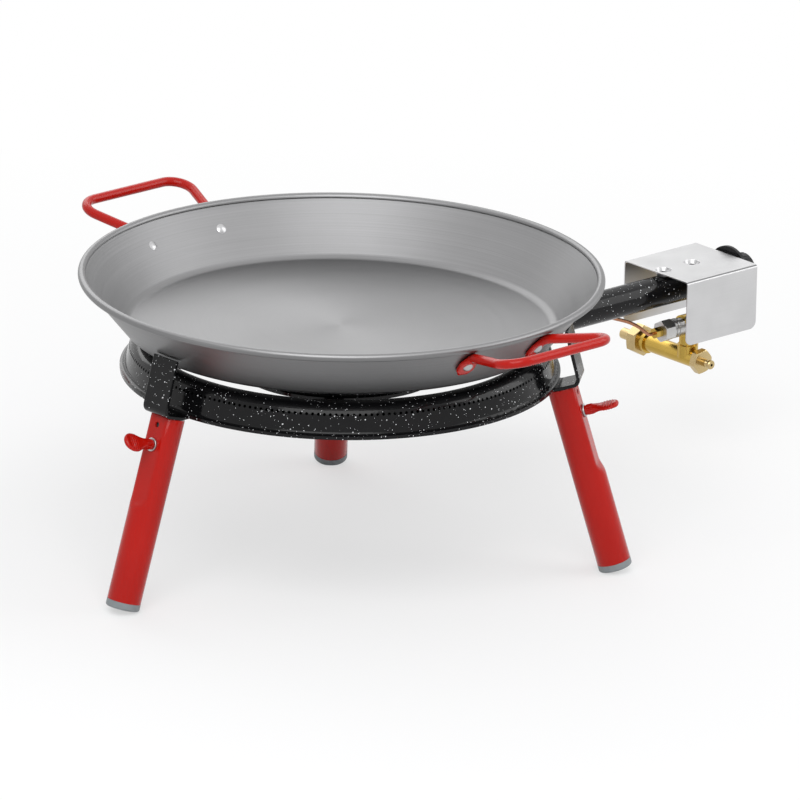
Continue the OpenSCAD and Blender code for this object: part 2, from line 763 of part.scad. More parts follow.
// Handle: a bar bent to a wide grip, flattened at both ends into lugs on the pan's wall
module pan_handle(side) {
    path = [[-bar_start_x, 0], [-grip_w / 2, bar_reach], [grip_w / 2, bar_reach], [bar_start_x, 0]];
    color(red_paint) {
        rotate([0, 0, side * right_turn - right_turn])
            translate([0, bar_start_y, pan_z + bar_start_h]) rotate([bar_tilt, 0, 0])
            bent_bar(path, bar_bend, bar_d);
        for (end = [-1, 1]) at_lug(side, end) {
            translate([-lug_up, 0, bar_d / 2]) sphere(d = bar_d - 2 * knuckle_step);
            translate([0, 0, running_gap]) difference() {
                linear_extrude(lug_t) lug_outline();
                translate([0, 0, -overrun]) cylinder(h = lug_t + 2 * overrun, d = rivet_d + 2 * fixed_gap);
            }
        }
    }
}

// Rivets through the lugs and the pan's wall, with a low head on the inside
module handle_rivets() {
    head_z = lug_t + running_gap;
    tail_z = -pan_sheet - running_gap;
    color(bright_steel) for (side = [-1, 1], end = [-1, 1]) at_lug(side, end) {
        translate([0, 0, tail_z]) cylinder(h = head_z - tail_z, d = rivet_d);
        translate([0, 0, head_z]) domed_head(rivet_head_d, rivet_head_h);
        translate([0, 0, tail_z]) mirror([0, 0, 1]) domed_head(rivet_head_d, rivet_head_h / 2);
    }
}

// Cover section across the tube: an upside-down U, moved inwards by the sheet for its hollow
module cover_section(inset) {
    low = cover_top - cover_h - (inset > 0 ? overrun : 0);
    bend = cover_bend - inset;
    half = cover_w / 2 - inset;
    high = cover_top - inset;
    translate([-half, low]) square([2 * half, high - bend - low]);
    translate([bend - half, low]) square([2 * (half - bend), high - low]);
    for (side = [-1, 1])
        translate([side * (half - bend), high - bend]) circle(bend);
}

// Valve cover: folded sheet, open at both ends and below, with two pressed dimples for its screws
module valve_cover() {
    dimple_lap = cover_sheet / 2;
    under_z = cover_top - cover_sheet;
    color(bright_steel) difference() {
        union() {
            difference() {
                translate([cover_x, 0, 0]) rotate([right_turn, 0, right_turn]) linear_extrude(cover_len)
                    difference() {
                        cover_section(0);
                        cover_section(cover_sheet);
                    }
                for (x = cover_screw_x)
                    translate([x, 0, under_z - overrun])
                        cylinder(h = cover_sheet + 2 * overrun, r = dimple_r + dimple_lap);
            }
            for (x = cover_screw_x)
                translate([x, 0, 0]) rotate_extrude()
                    polygon([[cover_screw_d / 2 + fixed_gap, dimple_z], [dimple_floor_r, dimple_z],
                             [dimple_r, under_z], [dimple_r + dimple_lap, under_z],
                             [dimple_r + dimple_lap, cover_top], [dimple_r, cover_top],
                             [dimple_floor_r, dimple_z + cover_sheet],
                             [cover_screw_d / 2 + fixed_gap, dimple_z + cover_sheet]]);
        }
        for (end = [0, 1])
            translate([cover_x + end * cover_len, 0, cover_top - cover_h]) rotate([0, 0, end * half_turn])
                rotate([right_turn, 0, 0]) linear_extrude(2 * cover_w, center = true) difference() {
                    translate([-overrun, -overrun]) square(cover_corner + overrun);
                    translate([cover_corner, cover_corner]) circle(cover_corner);
                }
    }
}

// Two screws from the dimples into the tube
module cover_screws() {
    seat_z = dimple_z + cover_sheet;
    screw_len = 2 * cover_screw_d;
    color(steel) for (x = cover_screw_x) translate([x, 0, seat_z]) {
        translate([0, 0, -screw_len]) cylinder(h = screw_len, d = cover_screw_d);
        difference() {
            domed_head(cover_screw_head_d, cover_screw_head_h);
            for (a = [0, right_turn])
                rotate([0, 0, a]) translate([0, 0, cover_screw_head_h])
                    cube([cover_screw_head_d / 2, cover_screw_d / 4, cover_screw_head_h], center = true);
        }
    }
}

// Tap body: barrel, riser, magnet chamber and neck in one casting
module tap_body() {
    color(brass) difference() {
        union() {
            rod_x(barrel_x, tube_z, barrel_d, barrel_len);
            rod_x(chamber_x, chamber_z, chamber_d, chamber_len);
            translate([riser_x, 0, chamber_z]) cylinder(h = chamber_drop, d = riser_d);
            translate([rail_x, 0, rail_boss_z]) cylinder(h = chamber_z - rail_boss_z, d = riser_d);
        }
        rod_x(plug_x, tube_z, plug_d + 2 * running_gap, barrel_len);
        rod_x(barrel_x - overrun, tube_z, stub_bore, barrel_len);
    }
}

// Bonnet that closes the barrel round the spindle
module tap_bonnet() {
    color(brass) difference() {
        rod_x(bonnet_x, tube_z, barrel_d, bonnet_t);
        rod_x(bonnet_x - overrun, tube_z, spindle_d + 2 * rest_gap, bonnet_t + 2 * overrun);
    }
}

// Turning plug in the barrel, with the socket that the spindle slides in
module tap_plug() {
    plug_len = bonnet_x - rest_gap - plug_x - rest_gap;
    color(pale_brass) difference() {
        rod_x(plug_x + rest_gap, tube_z, plug_d, plug_len);
        rod_x(spindle_x - knob_push - overrun, tube_z, spindle_d + 2 * running_gap, barrel_len);
        translate([riser_x, 0, tube_z]) rotate([half_turn, 0, 0]) cylinder(h = plug_d, d = stub_bore);
    }
}

// Spindle from the plug to the knob
module spindle() {
    color(steel) rod_x(spindle_x, tube_z, spindle_d, knob_skirt_x + skirt_t + knob_bore_len - spindle_x);
}

// Knob: wide skirt and fluted grip with a pointer groove
module knob() {
    edge = skirt_t / 3;
    flute_d = knob_grip_d / 8;
    taper = knob_grip_d / 20;
    pointer = skirt_t / 3;
    color(black_plastic) translate([knob_skirt_x, 0, tube_z]) rotate([0, right_turn, 0]) difference() {
        rotate_extrude()
            polygon([[0, 0], [skirt_d / 2, 0], [skirt_d / 2, skirt_t - edge], [skirt_d / 2 - edge, skirt_t],
                     [knob_grip_d / 2 + flute_d, skirt_t], [knob_grip_d / 2, skirt_t + edge],
                     [knob_grip_d / 2 - taper, skirt_t + knob_grip_h - edge],
                     [knob_grip_d / 2 - taper - edge, skirt_t + knob_grip_h], [0, skirt_t + knob_grip_h]]);
        translate([0, 0, -overrun])
            cylinder(h = skirt_t + knob_bore_len + overrun, d = spindle_d + 2 * running_gap);
        for (i = [0 : flute_count - 1])
            rotate([0, 0, i * full_turn / flute_count])
                translate([knob_grip_d / 2, 0, skirt_t + 2 * edge]) cylinder(h = knob_grip_h, d = flute_d);
        translate([-knob_grip_d / 4, 0, skirt_t + knob_grip_h])
            cube([knob_grip_d / 2, pointer, pointer], center = true);
    }
}

// Injector: nozzle in the venturi plate and head against the barrel
module injector() {
    nozzle_x = tube_end_x - injector_nose;
    color(pale_brass) difference() {
        union() {
            rod_x(nozzle_x, tube_z, injector_d, injector_nose);
            translate([tube_end_x, 0, tube_z]) rotate([0, right_turn, 0])
                hexagon(injector_head_d, injector_head_len);
        }
        rod_x(nozzle_x + venturi_t, tube_z, stub_bore, injector_nose + injector_head_len);
        rod_x(nozzle_x - overrun, tube_z, injector_orifice_d, injector_nose);
    }
}

// Gas rail across the burner under the tap, with the boss that the tap stands on
module gas_rail() {
    color(brass) difference() {
        union() {
            rod_y(-rail_front, rail_d, rail_front + rail_back);
            rod_y(collar_y, collar_d, collar_len);
            translate([rail_x, 0, rail_z]) cylinder(h = rail_boss_z - rail_z, d = rail_boss_d);
        }
        rod_y(-rail_front - overrun, rail_bore, rail_front + rail_back + collar_len + 2 * overrun);
        translate([rail_x, 0, rail_z]) cylinder(h = rail_drop, d = stub_bore);
    }
}

// Hexagon nut at the gas inlet
module inlet_nut() {
    color(pale_brass) translate([rail_x, inlet_nut_y, rail_z]) rotate([-right_turn, 0, 0]) difference() {
        rotate([0, 0, inlet_nut_turn]) hexagon(inlet_nut_af, inlet_nut_len);
        translate([0, 0, -overrun])
            cylinder(h = inlet_nut_len + 2 * overrun, d = stub_core_d + 2 * fixed_gap);
    }
}

// Inlet stub through the nut, for the gas hose
module inlet_stub() {
    color(pale_brass) difference() {
        union() {
            rod_y(inlet_nut_y, stub_core_d, inlet_nut_len);
            rod_y(stub_y, stub_d, stub_len);
        }
        rod_y(inlet_nut_y - overrun, stub_bore, inlet_nut_len + stub_len + 2 * overrun);
    }
}

// Hexagon nut at the rail's front end
module front_nut() {
    color(pale_brass) translate([rail_x, -rail_front, rail_z]) rotate([right_turn, 0, 0])
        rotate([0, 0, front_nut_turn]) hexagon(front_nut_af, front_nut_len);
}

// Pressure test nipple on the front nut: shank, waist and bead round its bore
module test_nipple() {
    nipple_y = -rail_front - front_nut_len;
    color(pale_brass) translate([rail_x, nipple_y, rail_z]) rotate([right_turn, 0, 0]) rotate_extrude()
        polygon([for (s = nipple_shares) [s.x * nipple_d / 2, s.y * nipple_len]]);
}

// Magnet unit screwed into the chamber, with two low beads beside its hexagon
module magnet_unit() {
    color(bright_steel) {
        rod_x(magnet_x, chamber_z, magnet_d, magnet_len);
        for (share = magnet_bead_shares)
            rod_x(magnet_x + share * magnet_len, chamber_z, magnet_hex_af, magnet_bead);
        translate([magnet_hex_x, 0, chamber_z]) rotate([0, right_turn, 0])
            hexagon(magnet_hex_af, magnet_hex_len);
    }
}

// Nut of the sensor lead
module lead_nut() {
    color(brass) translate([lead_nut_x, 0, chamber_z]) rotate([0, right_turn, 0])
        hexagon(lead_nut_af, lead_nut_len);
}

// Sensor lead swept along its route
function route_point(i) = lead_route[max(0, min(len(lead_route) - 1, i))];
function route_at(i, t) =
    let (a = route_point(i - 1), b = route_point(i), c = route_point(i + 1), d = route_point(i + 2))
    (2 * b + (c - a) * t + (2 * a - 5 * b + 4 * c - d) * t * t + (3 * b - a - 3 * c + d) * t * t * t) / 2;
module sensor_lead() {
    spans = len(lead_route) - 1;
    line = [for (i = [0 : spans - 1], k = [0 : lead_steps - 1]) route_at(i, k / lead_steps),
            route_point(spans)];
    rings = len(line);
    function along(i) =
        let (v = line[min(rings - 1, i + 1)] - line[max(0, i - 1)]) v / norm(v);
    function across(i) = let (v = cross(along(i), [0, 1, 0])) v / norm(v);
    points = [for (i = [0 : rings - 1], k = [0 : lead_sides - 1])
        let (a = k * full_turn / lead_sides, u = across(i), w = cross(along(i), u))
        line[i] + lead_d / 2 * (cos(a) * u + sin(a) * w)];
    sides = [for (i = [0 : rings - 2], k = [0 : lead_sides - 1])
        let (n = (k + 1) % lead_sides, a = i * lead_sides, b = a + lead_sides)
        each [[a + k, b + n, a + n], [a + k, b + k, b + n]]];
    start = [for (k = [1 : lead_sides - 2]) [0, k, k + 1]];
    last = (rings - 1) * lead_sides;
    finish = [for (k = [1 : lead_sides - 2]) [last, last + k + 1, last + k]];
    color(copper) polyhedron(points = points, faces = concat(sides, start, finish));
}

// Sheath of the flame sensor, held upright in its clip
module sensor_sheath() {
    color(steel) translate([sensor_x, sensor_y, sensor_z]) {
        cylinder(h = sensor_len - sensor_d / 2, d = sensor_d);
        translate([0, 0, sensor_len - sensor_d / 2]) sphere(d = sensor_d);
    }
}

// Clip on the tube's crest that carries the sensor
module sensor_clip() {
    reach = sensor_y + clip_w / 2;
    color(steel) difference() {
        translate([sensor_x, -clip_w / 2, tube_top + fixed_gap]) rotate([0, 0, right_turn])
            linear_extrude(clip_t) rounded_outline(reach + clip_w / 2, clip_w, clip_w / 3);
        translate([sensor_x, sensor_y, tube_top]) cylinder(h = 2 * clip_t, d = sensor_d + 2 * fixed_gap);
    }
}

ring_top(outer_ring_r);  // outer_ring_top
ring_base(outer_ring_r);  // outer_ring_base
ring_top(inner_ring_r);  // inner_ring_top
ring_base(inner_ring_r);  // inner_ring_base
ring_strap(-strap_angle);  // ring_strap_left
ring_strap(strap_angle);  // ring_strap_right
mixing_tube();
tube_end_cap();
venturi_plate();
pan_bracket(far_angle);  // bracket_far
pan_bracket(left_angle);  // bracket_left
pan_bracket(right_angle);  // bracket_right
leg_stem(far_angle);  // leg_stem_far
leg_stem(left_angle);  // leg_stem_left
leg_stem(right_angle);  // leg_stem_right
leg_tube(far_angle);  // leg_tube_far
leg_tube(left_angle);  // leg_tube_left
leg_tube(right_angle);  // leg_tube_right
foot_cap(far_angle);  // foot_cap_far
foot_cap(left_angle);  // foot_cap_left
foot_cap(right_angle);  // foot_cap_right
screw_bush(far_angle);  // screw_bush_far
screw_bush(left_angle);  // screw_bush_left
screw_bush(right_angle);  // screw_bush_right
thumb_screw(far_angle, far_spin);  // thumb_screw_far
thumb_screw(left_angle, left_spin);  // thumb_screw_left
thumb_screw(right_angle, right_spin);  // thumb_screw_right
pan_shell();
pan_handle(-1);  // handle_front
pan_handle(1);  // handle_back
handle_rivets();
valve_cover();
cover_screws();
tap_body();
tap_bonnet();
tap_plug();
spindle();
knob();
injector();
gas_rail();
inlet_nut();
inlet_stub();
front_nut();
test_nipple();
magnet_unit();
lead_nut();
sensor_lead();
sensor_sheath();
sensor_clip();
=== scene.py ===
import json
import math

import bmesh
import bpy
from mathutils import Matrix, Vector


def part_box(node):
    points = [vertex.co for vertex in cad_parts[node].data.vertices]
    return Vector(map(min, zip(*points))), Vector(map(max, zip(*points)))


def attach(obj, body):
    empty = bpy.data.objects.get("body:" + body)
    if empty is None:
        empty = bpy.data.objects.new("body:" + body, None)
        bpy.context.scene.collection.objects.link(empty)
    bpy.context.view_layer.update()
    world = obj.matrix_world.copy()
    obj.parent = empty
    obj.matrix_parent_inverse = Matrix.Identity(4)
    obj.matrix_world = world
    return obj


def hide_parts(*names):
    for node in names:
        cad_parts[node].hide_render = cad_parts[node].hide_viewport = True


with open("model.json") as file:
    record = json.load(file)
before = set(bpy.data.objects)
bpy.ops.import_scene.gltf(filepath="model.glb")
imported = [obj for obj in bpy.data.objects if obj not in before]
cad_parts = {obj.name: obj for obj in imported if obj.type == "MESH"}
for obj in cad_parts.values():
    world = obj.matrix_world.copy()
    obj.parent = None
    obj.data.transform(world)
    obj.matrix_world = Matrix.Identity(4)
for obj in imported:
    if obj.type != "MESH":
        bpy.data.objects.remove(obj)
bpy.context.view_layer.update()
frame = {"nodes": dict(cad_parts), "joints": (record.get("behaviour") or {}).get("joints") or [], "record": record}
nodes = frame["nodes"]
joints = {joint["name"]: joint for joint in frame["joints"]}
slot_of = {row["node"]: row["material_slot"] for row in frame["record"]["subparts"]}
bodies = frame["record"]["behaviour"]["bodies"]
body_of = {node: body for body, members in bodies.items() for node in members}
collection = bpy.context.scene.collection

MM = 0.001


# Builder of one node material on the principled shader
class Graph:
    def __init__(self, name, **shader):
        self.material = bpy.data.materials.new(name)
        self.material.use_nodes = True
        self.tree = self.material.node_tree
        self.shader = self.tree.nodes["Principled BSDF"]
        for socket, value in shader.items():
            self.shader.inputs[socket.replace("_", " ")].default_value = value
        self.place = self.node("ShaderNodeTexCoord").outputs["Object"]

    def node(self, kind, **settings):
        made = self.tree.nodes.new(kind)
        for key, value in settings.items():
            setattr(made, key, value)
        return made

    def feed(self, socket, value):
        if isinstance(value, bpy.types.NodeSocket):
            self.tree.links.new(value, socket)
        else:
            socket.default_value = value

    def drive(self, socket, value):
        self.feed(self.shader.inputs[socket], value)

    def math(self, operation, *values):
        made = self.node("ShaderNodeMath", operation=operation)
        for socket, value in zip(made.inputs, values):
            self.feed(socket, value)
        return made.outputs["Value"]

    def span(self, value, low, high, to_low=0.0, to_high=1.0):
        made = self.node("ShaderNodeMapRange")
        for socket, number in zip(made.inputs, (value, low, high, to_low, to_high)):
            self.feed(socket, number)
        return made.outputs["Result"]

    def blend(self, factor, first, second):
        made = self.node("ShaderNodeMix", data_type="RGBA")
        self.feed(made.inputs["Factor"], factor)
        self.feed(made.inputs[6], first)
        self.feed(made.inputs[7], second)
        return made.outputs[2]

    def stretch(self, vector, scales):
        made = self.node("ShaderNodeVectorMath", operation="MULTIPLY")
        self.feed(made.inputs[0], vector)
        self.feed(made.inputs[1], scales)
        return made.outputs["Vector"]

    def noise(self, scale, detail=2.0, rough=0.5, vector=None):
        made = self.node("ShaderNodeTexNoise")
        self.feed(made.inputs["Vector"], vector or self.place)
        made.inputs["Scale"].default_value = scale
        made.inputs["Detail"].default_value = detail
        made.inputs["Roughness"].default_value = rough
        return made.outputs["Fac"]

    def cells(self, scale, vector=None):
        made = self.node("ShaderNodeTexVoronoi")
        self.feed(made.inputs["Vector"], vector or self.place)
        made.inputs["Scale"].default_value = scale
        return made.outputs["Distance"], made.outputs["Color"]

    def split(self, vector):
        made = self.node("ShaderNodeSeparateXYZ")
        self.feed(made.inputs[0], vector)
        return made.outputs

    def join(self, x, y, z):
        made = self.node("ShaderNodeCombineXYZ")
        for socket, value in zip(made.inputs, (x, y, z)):
            self.feed(socket, value)
        return made.outputs[0]

    def around_z(self):
        x, y, z = self.split(self.place)
        squares = self.math("ADD", self.math("MULTIPLY", x, x), self.math("MULTIPLY", y, y))
        return self.math("ARCTAN2", y, x), self.math("SQRT", squares), z

    def bump(self, height, depth, strength=1.0):
        made = self.node("ShaderNodeBump")
        made.inputs["Strength"].default_value = strength
        made.inputs["Distance"].default_value = depth
        self.feed(made.inputs["Height"], height)
        self.drive("Normal", made.outputs["Normal"])


# Round white specks in a share of the cells of a pattern
def specks(graph, cell, largest, share):
    distance, colour = graph.cells(1 / cell)
    chance = graph.split(colour)[0]
    radius = graph.span(chance, 1 - share, 1.0, -0.1, largest / cell)
    return graph.span(graph.math("SUBTRACT", radius, distance), 0.0, 0.06)


def black_enamel():
    graph = Graph("black_enamel", Specular_IOR_Level=0.2)
    dots = graph.math("MAXIMUM", specks(graph, 3.4 * MM, 0.85 * MM, 0.5),
                      specks(graph, 1.7 * MM, 0.48 * MM, 0.6))
    cloud = graph.noise(90, 3)
    black = graph.blend(cloud, (0.003, 0.003, 0.0035, 1), (0.007, 0.007, 0.0075, 1))
    graph.drive("Base Color", graph.blend(dots, black, (0.78, 0.79, 0.8, 1)))
    graph.drive("Roughness", graph.span(cloud, 0.3, 0.7, 0.07, 0.16))
    graph.bump(graph.noise(420, 2), 0.12 * MM, 0.35)
    return graph.material


def red_paint(name, grain):
    graph = Graph(name, Specular_IOR_Level=0.22)
    tone = graph.noise(26, 3)
    graph.drive("Base Color", graph.blend(tone, (0.39, 0.005, 0.002, 1), (0.48, 0.009, 0.004, 1)))
    graph.drive("Roughness", graph.span(graph.noise(160, 3), 0.3, 0.7, 0.12, 0.2))
    graph.bump(graph.noise(grain, 2), 0.05 * MM, 0.15)
    return graph.material


# Brushed marks that run round the vertical axis
def pan_steel():
    graph = Graph("pan_steel", Metallic=1.0, Anisotropic=0.45)
    angle, radius, height = graph.around_z()
    lines = graph.join(graph.math("MULTIPLY", angle, 0.9), graph.math("MULTIPLY", radius, 1500.0),
                       graph.math("MULTIPLY", height, 1500.0))
    fine = graph.noise(1.0, 3, 0.6, lines)
    broad = graph.noise(9, 3)
    grey = graph.blend(fine, (0.17, 0.17, 0.173, 1), (0.28, 0.28, 0.284, 1))
    worn = graph.span(broad, 0.35, 0.7, 0.0, 0.3)
    graph.drive("Base Color", graph.blend(worn, grey, (0.17, 0.17, 0.17, 1)))
    graph.drive("Roughness", graph.span(fine, 0.3, 0.7, 0.34, 0.46))
    tangent = graph.node("ShaderNodeTangent", direction_type="RADIAL", axis="Z")
    graph.drive("Tangent", tangent.outputs["Tangent"])
    graph.bump(fine, 0.02 * MM, 0.3)
    return graph.material


# Painted shade: a dark line along the middle of the valve cover's two bends, standing in for a dark reflection
# there
COVER_BEND = 3 * MM
DARK_FROM = 0.65 * COVER_BEND
DARK_FULL = 0.35 * COVER_BEND
BEND_SHADE = (0.1, 0.1, 0.102, 1)


# Mask of painted shade: one along the middle of the valve cover's two bends, nought elsewhere
def painted_bend_shade(graph):
    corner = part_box("valve_cover")[1]
    y, z = graph.split(graph.place)[1:3]
    outward = graph.span(graph.math("ABSOLUTE", y), corner.y - DARK_FROM, corner.y - DARK_FULL)
    upward = graph.span(z, corner.z - DARK_FROM, corner.z - DARK_FULL)
    return graph.math("MULTIPLY", outward, upward)


# Metal with a fine grain stretched along one direction, with painted shade where a given mask is one
def grained_metal(name, dark, light, rough, grain, shade_mask=None):
    graph = Graph(name, Metallic=1.0)
    lines = graph.noise(1.0, 3, 0.6, graph.stretch(graph.place, grain))
    patches = graph.noise(30, 2)
    tone = graph.math("ADD", graph.math("MULTIPLY", lines, 0.4), graph.math("MULTIPLY", patches, 0.6))
    colour = graph.blend(graph.span(tone, 0.3, 0.7), dark, light)
    if shade_mask:
        # Painted shade: the colour goes dark where the mask is one
        colour = graph.blend(shade_mask(graph), colour, BEND_SHADE)
    graph.drive("Base Color", colour)
    graph.drive("Roughness", graph.span(tone, 0.3, 0.7, rough[0], rough[1]))
    graph.bump(lines, 0.01 * MM, 0.25)
    return graph.material


def moulded_plastic(name, dark, light, rough, shine):
    graph = Graph(name, Specular_IOR_Level=shine)
    tone = graph.noise(260, 4)
    graph.drive("Base Color", graph.blend(tone, dark, light))
    graph.drive("Roughness", graph.span(tone, 0.3, 0.7, rough[0], rough[1]))
    graph.bump(graph.noise(1500, 2), 0.04 * MM, 0.4)
    return graph.material


ALONG_X = (20.0, 1800.0, 1800.0)
ALONG_Y = (1800.0, 20.0, 1800.0)
EVEN = (900.0, 900.0, 900.0)
FINISH = {
    "black_enamel": black_enamel(),
    "red_paint": red_paint("red_paint", 650),
    "thumb_screw": red_paint("thumb_screw", 1100),
    "pan_steel": pan_steel(),
    # The cover's steel has painted shade along its two bends
    "cover_steel": grained_metal("cover_steel", (0.54, 0.54, 0.545, 1), (0.62, 0.62, 0.625, 1),
                                 (0.32, 0.42), ALONG_X, painted_bend_shade),
    "zinc_steel": grained_metal("zinc_steel", (0.36, 0.36, 0.365, 1), (0.52, 0.52, 0.525, 1),
                                (0.26, 0.4), EVEN),
    "foot_plastic": moulded_plastic("foot_plastic", (0.19, 0.21, 0.22, 1), (0.26, 0.28, 0.29, 1),
                                    (0.4, 0.5), 0.4),
    "knob_plastic": moulded_plastic("knob_plastic", (0.006, 0.006, 0.007, 1), (0.012, 0.012, 0.013, 1),
                                    (0.2, 0.32), 0.2),
    "brass": grained_metal("brass", (0.46, 0.30, 0.06, 1), (0.60, 0.41, 0.095, 1),
                           (0.16, 0.26), ALONG_Y),
    "pale_brass": grained_metal("pale_brass", (0.49, 0.37, 0.18, 1), (0.62, 0.48, 0.25, 1),
                                (0.22, 0.34), EVEN),
    "chrome": grained_metal("chrome", (0.42, 0.42, 0.42, 1), (0.64, 0.64, 0.63, 1),
                            (0.26, 0.42), EVEN),
    "copper": grained_metal("copper", (0.30, 0.13, 0.07, 1), (0.55, 0.26, 0.15, 1),
                            (0.25, 0.4), EVEN),
}
# The leg stems and the cover's screws are much darker than the other zinc pieces: painted shade for the stems
# inside the legs and for the screws' recessed heads
SHADED_STEEL = grained_metal("painted_shade_steel", (0.05, 0.05, 0.052, 1), (0.1, 0.1, 0.104, 1),
                            (0.4, 0.55), EVEN)
SHADED_NODES = ("leg_stem_far", "leg_stem_left", "leg_stem_right", "cover_screws")
# These nodes take the darkened steel, which is painted shade, in place of their slot's finish
for name, slot in slot_of.items():
    nodes[name].data.materials.clear()
    nodes[name].data.materials.append(SHADED_STEEL if name in SHADED_NODES else FINISH[slot])

WELD = 0.001 * MM
SHARP = math.radians(35)
LEVEL = math.radians(0.5)


# Finishes a mesh, hangs it on a body and lets it stand for CAD nodes
def add_piece(name, mesh, body, slot, *replaced):
    mesh.materials.clear()
    mesh.materials.append(FINISH[slot])
    piece = bpy.data.objects.new(name, mesh)
    collection.objects.link(piece)
    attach(piece, body)
    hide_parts(*replaced)
    return piece


# Closed mesh from points and faces, welded and with its faces turned outwards
def solid_mesh(name, vertices, faces):
    mesh = bpy.data.meshes.new(name)
    mesh.from_pydata([tuple(v) for v in vertices], [], faces)
    shape = bmesh.new()
    shape.from_mesh(mesh)
    bmesh.ops.remove_doubles(shape, verts=shape.verts, dist=WELD)
    bmesh.ops.recalc_face_normals(shape, faces=shape.faces)
    shape.to_mesh(mesh)
    shape.free()
    mesh.shade_smooth()
    mesh.set_sharp_from_angle(angle=SHARP)
    return mesh


# Skin through rings of equal count, with flat ends or joined back to the first ring
def loft(name, rings, looped=False):
    count = len(rings[0])
    vertices = [point for ring in rings for point in ring]
    faces = []
    for i in range(len(rings) if looped else len(rings) - 1):
        a, b = i * count, (i + 1) % len(rings) * count
        for k in range(count):
            n = (k + 1) % count
            faces.append((a + k, a + n, b + n, b + k))
    if not looped:
        faces.append(tuple(range(count)))
        faces.append(tuple(range(len(vertices) - count, len(vertices))))
    return solid_mesh(name, vertices, faces)


# Ring of points round a centre: half sizes along two directions and squareness of the outline
def section(centre, side, normal, half_side, half_normal, power, count=28):
    ring = []
    for k in range(count):
        a = math.tau * k / count
        c = math.copysign(abs(math.cos(a)) ** (2 / power), math.cos(a))
        s = math.copysign(abs(math.sin(a)) ** (2 / power), math.sin(a))
        ring.append(centre + side * half_side * c + normal * half_normal * s)
    return ring


# Solid of revolution of an outline of (radius, height) about the z axis of a place
def lathe(name, outline, place=Matrix(), steps=64):
    turns = [math.tau * k / steps for k in range(steps)]
    rings = []
    for radius, height in outline:
        rings.append([place @ Vector((radius * math.cos(a), radius * math.sin(a), height)) for a in turns])
    return loft(name, rings, looped=True)


# Smooth value along a list of (position, value) stops
def eased(stops, at):
    for (low, first), (high, second) in zip(stops, stops[1:]):
        if at <= high:
            t = max(0.0, (at - low) / (high - low))
            return first + (second - first) * t * t * (3 - 2 * t)
    return stops[-1][1]


def arc(centre, radius, start, end, steps):
    angles = [math.radians(start + (end - start) * k / steps) for k in range(steps + 1)]
    return [(centre[0] + radius * math.cos(a), centre[1] + radius * math.sin(a)) for a in angles]


# Points along a bent rod: straight runs with a round bend at every inner corner
def bent_path(corners, bends, steps=10):
    path = [corners[0]]
    for before, corner, after, bend in zip(corners, corners[1:], corners[2:], bends):
        u = (corner - before).normalized()
        v = (after - corner).normalized()
        angle = u.angle(v)
        inward = (v - u * u.dot(v)).normalized()
        start = corner - u * bend * math.tan(angle / 2)
        for k in range(steps + 1):
            a = angle * k / steps
            path.append(start + inward * bend * (1 - math.cos(a)) + u * bend * math.sin(a))
    return path + [corners[-1]]


# Even steps along a path, each with its distance from the start
def stations(path, step):
    lengths = [0.0]
    for a, b in zip(path, path[1:]):
        lengths.append(lengths[-1] + (b - a).length)
    count = round(lengths[-1] / step)
    found = []
    i = 0
    for k in range(count + 1):
        at = lengths[-1] * k / count
        while i < len(path) - 2 and lengths[i + 1] < at:
            i += 1
        share = (at - lengths[i]) / max(lengths[i + 1] - lengths[i], WELD)
        found.append((at, path[i].lerp(path[i + 1], share)))
    return found


# Copy of a CAD node with its sharp edges rounded
def rounded_copy(node, radius):
    shape = bmesh.new()
    shape.from_mesh(nodes[node].data)
    bmesh.ops.remove_doubles(shape, verts=shape.verts, dist=WELD)
    bmesh.ops.dissolve_limit(shape, angle_limit=LEVEL, verts=shape.verts, edges=shape.edges)
    sharp = [e for e in shape.edges if len(e.link_faces) == 2 and e.calc_face_angle() > SHARP]
    bmesh.ops.bevel(shape, geom=sharp, offset=radius, segments=2, profile=0.5, affect="EDGES",
                    clamp_overlap=True)
    mesh = bpy.data.meshes.new(node + "_rounded")
    shape.to_mesh(mesh)
    shape.free()
    mesh.shade_smooth()
    piece = add_piece(mesh.name, mesh, body_of[node], slot_of[node], node)
    even = piece.modifiers.new("even_normals", "WEIGHTED_NORMAL")
    even.keep_sharp = True
    return piece


# Copy of a CAD node that is shaded round over its flat sides
def smooth_copy(node, crease):
    shape = bmesh.new()
    shape.from_mesh(nodes[node].data)
    bmesh.ops.remove_doubles(shape, verts=shape.verts, dist=WELD)
    mesh = bpy.data.meshes.new(node + "_smooth")
    shape.to_mesh(mesh)
    shape.free()
    mesh.shade_smooth()
    mesh.set_sharp_from_angle(angle=crease)
    return add_piece(mesh.name, mesh, body_of[node], slot_of[node], node)


# Pan: spun sheet with a rolled rim
PAN_BASE_R = 188.4 * MM
PAN_LEAN = 39.5
PAN_SHEET = 1.6 * MM
PAN_ROUND = 12 * MM
PAN_DEPTH = 47 * MM
BEAD_R = 3.5 * MM
RIM_GAP = 0.5 * MM
PAN_STEPS = 192
PAN_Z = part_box("pan_shell")[0].z
LEAN_TAN = math.tan(math.radians(PAN_LEAN))
LEAN_SIN = math.sin(math.radians(PAN_LEAN))
LEAN_COS = math.cos(math.radians(PAN_LEAN))


def wall_r(height):
    return PAN_BASE_R + height * LEAN_TAN


